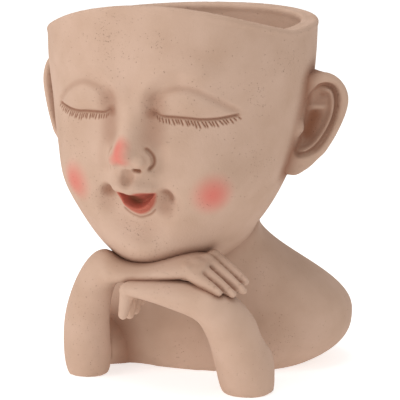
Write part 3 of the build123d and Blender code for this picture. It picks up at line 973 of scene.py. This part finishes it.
# Painted shade where two castings meet, with the wash that gathers in the joint: pairs, width and strength.
CONTACT_SHADE_AND_WASH = [
    ("head_pot", "right_arm", 5.0, 0.75),
    ("head_pot", "left_arm", 5.0, 0.75),
    ("right_arm", "left_arm", 3.0, 0.80),
    ("right_arm", "bust", 10.0, 0.65),
    ("left_arm", "bust", 6.0, 0.60),
    ("head_pot", "bust", 6.0, 0.30),
    ("head_pot", "left_ear", 7.0, 0.80),
    ("head_pot", "right_ear", 7.0, 0.80),
]
CONTACT_FALL = 1.5


def crease_depth(body, rubs):
    """How far each point lies below its own surface after some rubs with a sponge."""
    mesh = body.piece.data
    ends = np.empty(2 * len(mesh.edges), int)
    mesh.edges.foreach_get("vertices", ends)
    here, there = ends.reshape(-1, 2).T
    start = np.append(here, there)
    end = np.append(there, here)
    count = len(body.points)
    neighbours = np.bincount(start, minlength=count)[:, None]
    rubbed = body.points
    for _ in range(rubs):
        sums = [np.bincount(start, weights=rubbed[end, axis], minlength=count) for axis in range(3)]
        rubbed = np.stack(sums, axis=1) / neighbours
    return ((rubbed - body.points) * body.normals).sum(axis=1)


washes_and_shade = {}
for node, (rubs, deep, strength) in CREASE_WASH_AND_SHADE.items():
    washes_and_shade[node] = strength * np.clip(crease_depth(bodies[node], rubs) / deep, 0.0, 1.0)
for first, second, width, strength in CONTACT_SHADE_AND_WASH:
    for node, other in ((first, second), (second, first)):
        near = strength * nearness(bodies[node], bodies[other], width) ** CONTACT_FALL
        washes_and_shade[node] = np.maximum(washes_and_shade[node], near)
drawn_washes_and_shade = {"head_pot": face.paint["wash_and_shade"], "left_ear": ear_wash_and_shade, "right_ear": ear_wash_and_shade, **hand_wash_and_shade}
for node, wash_and_shade in drawn_washes_and_shade.items():
    washes_and_shade[node] = np.maximum(washes_and_shade[node], wash_and_shade)
print("points with wash:", {node: int((wash_and_shade > LEAST_SEEN).sum()) for node, wash_and_shade in washes_and_shade.items()})

# %% [markdown]
# ## The cast finish
# The whole figure has one dry, matte finish: pale pinkish beige with soft mottling, fine grain, and clusters
# of pinholes where air sat against the mould. One material does it all on Object coordinates, so the pattern
# runs on from piece to piece.

# %% Store the paint on the meshes
PAINTS = ("blush", "wash_and_shade", "lips", "rough")
ROUGH = [
    (-33.9, 78.1, 16.0, 0.9), (-10.7, 76.3, 9.0, 0.6), (36.7, 44.2, 14.0, 0.9), (47.4, 65.1, 11.0, 0.7),
    (36.7, 20.9, 13.0, 0.8), (-20.9, 25.1, 6.0, 1.0), (-15.3, 42.8, 6.0, 0.8), (-5.1, 25.1, 7.0, 0.7),
    (-40.9, 48.8, 8.0, 0.7), (-20.9, -13.0, 8.0, 0.9), (2.3, -14.9, 6.0, 0.6), (-6.0, -2.3, 8.0, 0.7),
    (-34.9, 4.7, 8.0, 0.7), (36.7, -34.9, 9.0, 1.0), (39.5, -51.2, 10.0, 0.9), (44.2, -65.1, 9.0, 0.7),
    (-1.4, -67.4, 9.0, 0.7), (-34.9, -36.3, 8.0, 0.6), (-10.7, -39.5, 9.0, 0.5), (14.9, -54.9, 6.0, 0.4),
]


def rough_spots(body):
    """Where the pinholes crowd: spots drawn in the camera's view, as across, above, width and strength."""
    rough = np.zeros(len(body.points))
    for across, above, width, strength in ROUGH:
        spot = body.photo_line([(across, above)])
        if len(spot):
            rough = np.maximum(rough, strength * body.touch(soft, width, spot))
    return rough


def store_paint(piece, paint):
    """Write each paint as a value per point, 0 where there is none."""
    for name in PAINTS:
        layer = piece.data.attributes.new(name, "FLOAT", "POINT")
        if name in paint:
            layer.data.foreach_set("value", paint[name])


for node, clay in clays.items():
    paint = {"wash_and_shade": washes_and_shade[node], "rough": rough_spots(bodies[node])}
    if node == "head_pot":
        paint = {**face.paint, **paint}
    store_paint(clay, paint)
print("stored", len(PAINTS), "paints on", len(clays), "castings")

# %% Shader groups with named sockets, and nodes that are used often
UNIT = (0.0, 1.0)
MIX_FIRST = 6
MIX_SECOND = 7
MIX_RESULT = 2


def new_group(name, inputs, outputs):
    """Start a shader group, and hand back its inner outputs."""
    group = bpy.data.node_groups.new(name, "ShaderNodeTree")
    for socket, kind in inputs.items():
        group.interface.new_socket(socket, in_out="INPUT", socket_type="NodeSocket" + kind)
    for socket, kind in outputs.items():
        group.interface.new_socket(socket, in_out="OUTPUT", socket_type="NodeSocket" + kind)
    return group, add_node(group, "NodeGroupInput", {}).outputs


def use_group(tree, group, inputs):
    """Place a group in a tree with its inputs, and hand back its output."""
    return add_node(tree, "ShaderNodeGroup", inputs, node_tree=group).outputs[0]


def spread(tree, value, source, target, **settings):
    """Spread a value from one range to another."""
    ranges = {"From Min": source[0], "From Max": source[1], "To Min": target[0], "To Max": target[1]}
    return add_node(tree, "ShaderNodeMapRange", {"Value": value, **ranges}, **settings).outputs[0]


def blend(tree, share, first, second):
    """Mix two colours by a share of the second."""
    inputs = {"Factor": share, MIX_FIRST: first, MIX_SECOND: second}
    return add_node(tree, "ShaderNodeMix", inputs, data_type="RGBA").outputs[MIX_RESULT]


# %% Pinholes in clusters
RAGGED_NOISE = {"Scale": 700.0, "Detail": 1.0}
RAGGED_SHIFT = (0.6 * MM, 0.6 * MM, 0.6 * MM)
PATCH_DETAIL = 2.0
PATCH_RANGE = (0.38, 0.68)
PIT_SIZES = (0.45, 1.0)


def pinhole_group():
    """Round pits, each 1 in its middle, kept only where a cloud of noise is dense."""
    inputs = {"Place": "Vector", "Spacing": "Float", "Size": "Float", "Patch": "Float", "Share": "Float"}
    group, given = new_group("pinholes", inputs, {"Pit": "Float"})
    place = given["Place"]
    ragged = add_node(group, "ShaderNodeTexNoise", {"Vector": place, **RAGGED_NOISE}).outputs["Color"]
    shift = {0: ragged, 1: RAGGED_SHIFT, 2: place}
    shifted = add_node(group, "ShaderNodeVectorMath", shift, operation="MULTIPLY_ADD").outputs[0]
    pattern = {"Vector": shifted, "Scale": given["Spacing"]}
    cells = add_node(group, "ShaderNodeTexVoronoi", pattern, feature="F1").outputs
    chance = add_node(group, "ShaderNodeSeparateColor", {0: cells["Color"]}).outputs
    patch = {"Vector": place, "Scale": given["Patch"], "Detail": PATCH_DETAIL}
    cloud = add_node(group, "ShaderNodeTexNoise", patch).outputs["Fac"]
    kept = calculate(group, "LESS_THAN", chance[0], spread(group, cloud, PATCH_RANGE, (0.0, given["Share"])))
    radius = calculate(group, "MULTIPLY", spread(group, chance[1], UNIT, PIT_SIZES), given["Size"])
    bowl = spread(group, cells["Distance"], (0.0, radius), (1.0, 0.0), interpolation_type="SMOOTHSTEP")
    add_node(group, "NodeGroupOutput", {"Pit": calculate(group, "MULTIPLY", bowl, kept)})
    return group


PINHOLES = pinhole_group()
print("pinholes:", len(PINHOLES.nodes), "nodes")

# %% Soft mottling and fine grain
CLOUD_RANGE = (0.30, 0.70)


def cloud_group():
    """Noise that is spread to the full range from 0 to 1."""
    inputs = {"Place": "Vector", "Scale": "Float", "Detail": "Float"}
    group, given = new_group("cloud", inputs, {"Value": "Float"})
    pattern = {"Vector": given["Place"], "Scale": given["Scale"], "Detail": given["Detail"]}
    noise = add_node(group, "ShaderNodeTexNoise", pattern).outputs["Fac"]
    add_node(group, "NodeGroupOutput", {"Value": spread(group, noise, CLOUD_RANGE, UNIT)})
    return group


CLOUD = cloud_group()
print("cloud:", len(CLOUD.nodes), "nodes")

# %% The cast material
CLAY = (0.595, 0.415, 0.320, 1.0)
CLAY_DUSK = (0.525, 0.355, 0.262, 1.0)
PIT_BROWN = (0.17, 0.075, 0.040, 1.0)
# Brown of the wash, which also stands for painted shade in the creases and joints.
WASH_AND_SHADE_BROWN = (0.235, 0.090, 0.045, 1.0)
BLUSH_CORAL = (0.66, 0.175, 0.14, 1.0)
LIP_CORAL = (0.47, 0.115, 0.075, 1.0)
CAST_SURFACE = {"Roughness": 0.88, "Specular IOR Level": 0.30}
MOTTLE = {"Scale": 55.0, "Detail": 4.0}
GRAIN = {"Scale": 900.0, "Detail": 3.0}
FINE_PITS = {"Spacing": 1150.0, "Size": 0.37, "Patch": 45.0}
FINE_SHARE = (0.30, 2.20)
COARSE_PITS = {"Spacing": 430.0, "Size": 0.17, "Patch": 30.0}
COARSE_SHARE = (0.15, 0.50)
PIT_STRENGTH = 0.50
GRAIN_HEIGHT = 0.16
BUMP = {"Strength": 0.9, "Distance": 0.35 * MM}


def stored(tree, name):
    """A paint that is stored on the mesh."""
    return add_node(tree, "ShaderNodeAttribute", {}, attribute_name=name).outputs["Fac"]


def lay_over(tree, below, mask, colour, strength=1.0):
    """Lay a colour over another by a mask."""
    return blend(tree, calculate(tree, "MULTIPLY", mask, strength, use_clamp=True), below, colour)


def cast_material():
    """Matte mineral casting with pinholes, mottling and its paint, whose brown is wash with painted shade."""
    material = bpy.data.materials.new("clay_cast_finish")
    material.use_nodes = True
    tree = material.node_tree
    bsdf = tree.nodes["Principled BSDF"]
    place = add_node(tree, "ShaderNodeTexCoord", {}).outputs["Object"]
    mottle = use_group(tree, CLOUD, {"Place": place, **MOTTLE})
    grain = use_group(tree, CLOUD, {"Place": place, **GRAIN})
    crowd = stored(tree, "rough")
    pits = []
    for values, shares in ((FINE_PITS, FINE_SHARE), (COARSE_PITS, COARSE_SHARE)):
        share = spread(tree, crowd, UNIT, shares)
        pits.append(use_group(tree, PINHOLES, {"Place": place, "Share": share, **values}))
    pit = calculate(tree, "MAXIMUM", *pits)
    colour = blend(tree, mottle, CLAY_DUSK, CLAY)
    # The brown layer is wash with painted shade.
    for name, paint in (("blush", BLUSH_CORAL), ("lips", LIP_CORAL), ("wash_and_shade", WASH_AND_SHADE_BROWN)):
        colour = lay_over(tree, colour, stored(tree, name), paint)
    colour = lay_over(tree, colour, pit, PIT_BROWN, PIT_STRENGTH)
    relief = calculate(tree, "MULTIPLY_ADD", grain, GRAIN_HEIGHT, calculate(tree, "MULTIPLY", pit, -1.0))
    bump = add_node(tree, "ShaderNodeBump", {"Height": relief, **BUMP})
    feed(tree, bsdf, {"Base Color": colour, "Normal": bump.outputs[0], **CAST_SURFACE})
    return material


clay_finish = cast_material()
print("cast material:", len(clay_finish.node_tree.nodes), "nodes")

# %% [markdown]
# ## The drain plug
# A rubber bung is turned: every cut through its axis is the same. So half of that cut is drawn once as a line
# and spun round the axis of the drain. Its stem is a little slimmer than the bore, and the knob below is held
# by two fingers to pull it out.

# %% Spin the plug
PLUG_AXIS = Vector((0.0, 11.0, 0.0)) * MM
PLUG_STEPS = 64
PLUG_WELD = 0.01
PLUG_EDGE = math.radians(50)
PLUG_CUT = [
    (0, 64), (5.4, 64), (6.3, 63.5), (6.7, 62.4), (6.8, 60), (6.8, 46.4), (7.2, 46), (10.2, 46), (10.8, 45.7),
    (11, 45.1), (11, 43.4), (10.8, 42.8), (10.2, 42.5), (6.6, 42.5), (5.6, 42.1), (5.0, 41.2), (4.8, 39.6),
    (5.0, 38), (5.4, 36.8), (5.5, 35.6), (5.3, 34.5), (4.6, 33.8), (3.6, 33.5), (0, 33.5),
]

cut = bpy.data.meshes.new("drain_plug_rubber")
spots = [PLUG_AXIS + Vector((radius, 0.0, height)) * MM for radius, height in PLUG_CUT]
cut.from_pydata(spots, [(index, index + 1) for index in range(len(spots) - 1)], [])
plug = bpy.data.objects.new("drain_plug_rubber", cut)
bpy.context.scene.collection.objects.link(plug)
select_only(plug)
bpy.ops.object.mode_set(mode="EDIT")
bpy.ops.mesh.select_all(action="SELECT")
bpy.ops.mesh.spin(steps=PLUG_STEPS, angle=math.tau, center=PLUG_AXIS, axis=(0.0, 0.0, 1.0))
bpy.ops.mesh.select_all(action="SELECT")
bpy.ops.mesh.remove_doubles(threshold=PLUG_WELD * MM)
bpy.ops.mesh.normals_make_consistent(inside=False)
bpy.ops.object.mode_set(mode="OBJECT")
bpy.ops.object.shade_smooth_by_angle(angle=PLUG_EDGE)
print("plug:", len(plug.data.polygons), "faces")

# %% Dull black rubber
RUBBER_DARK = (0.045, 0.042, 0.039, 1.0)
RUBBER_BLOOM = (0.075, 0.070, 0.064, 1.0)
RUBBER_ROUGHNESS = (0.48, 0.64)
BLOOM = {"Scale": 220.0, "Detail": 3.0}


def rubber_material():
    """Dark rubber with a faint bloom in its colour and sheen."""
    material = bpy.data.materials.new("plug_rubber_finish")
    material.use_nodes = True
    tree = material.node_tree
    place = add_node(tree, "ShaderNodeTexCoord", {}).outputs["Object"]
    bloom = use_group(tree, CLOUD, {"Place": place, **BLOOM})
    colour = blend(tree, bloom, RUBBER_DARK, RUBBER_BLOOM)
    roughness = spread(tree, bloom, UNIT, RUBBER_ROUGHNESS)
    feed(tree, tree.nodes["Principled BSDF"], {"Base Color": colour, "Roughness": roughness})
    return material


plug.data.materials.append(rubber_material())
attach(plug, "plug")
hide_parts("drain_plug")
print("plug material:", plug.data.materials[0].name)

# %% Every casting rides on the planter's body and stands for its CAD node
for node, clay in clays.items():
    clay.data.materials.append(clay_finish)
    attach(clay, "planter")
    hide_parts(node)
print("castings:", ", ".join(clays))
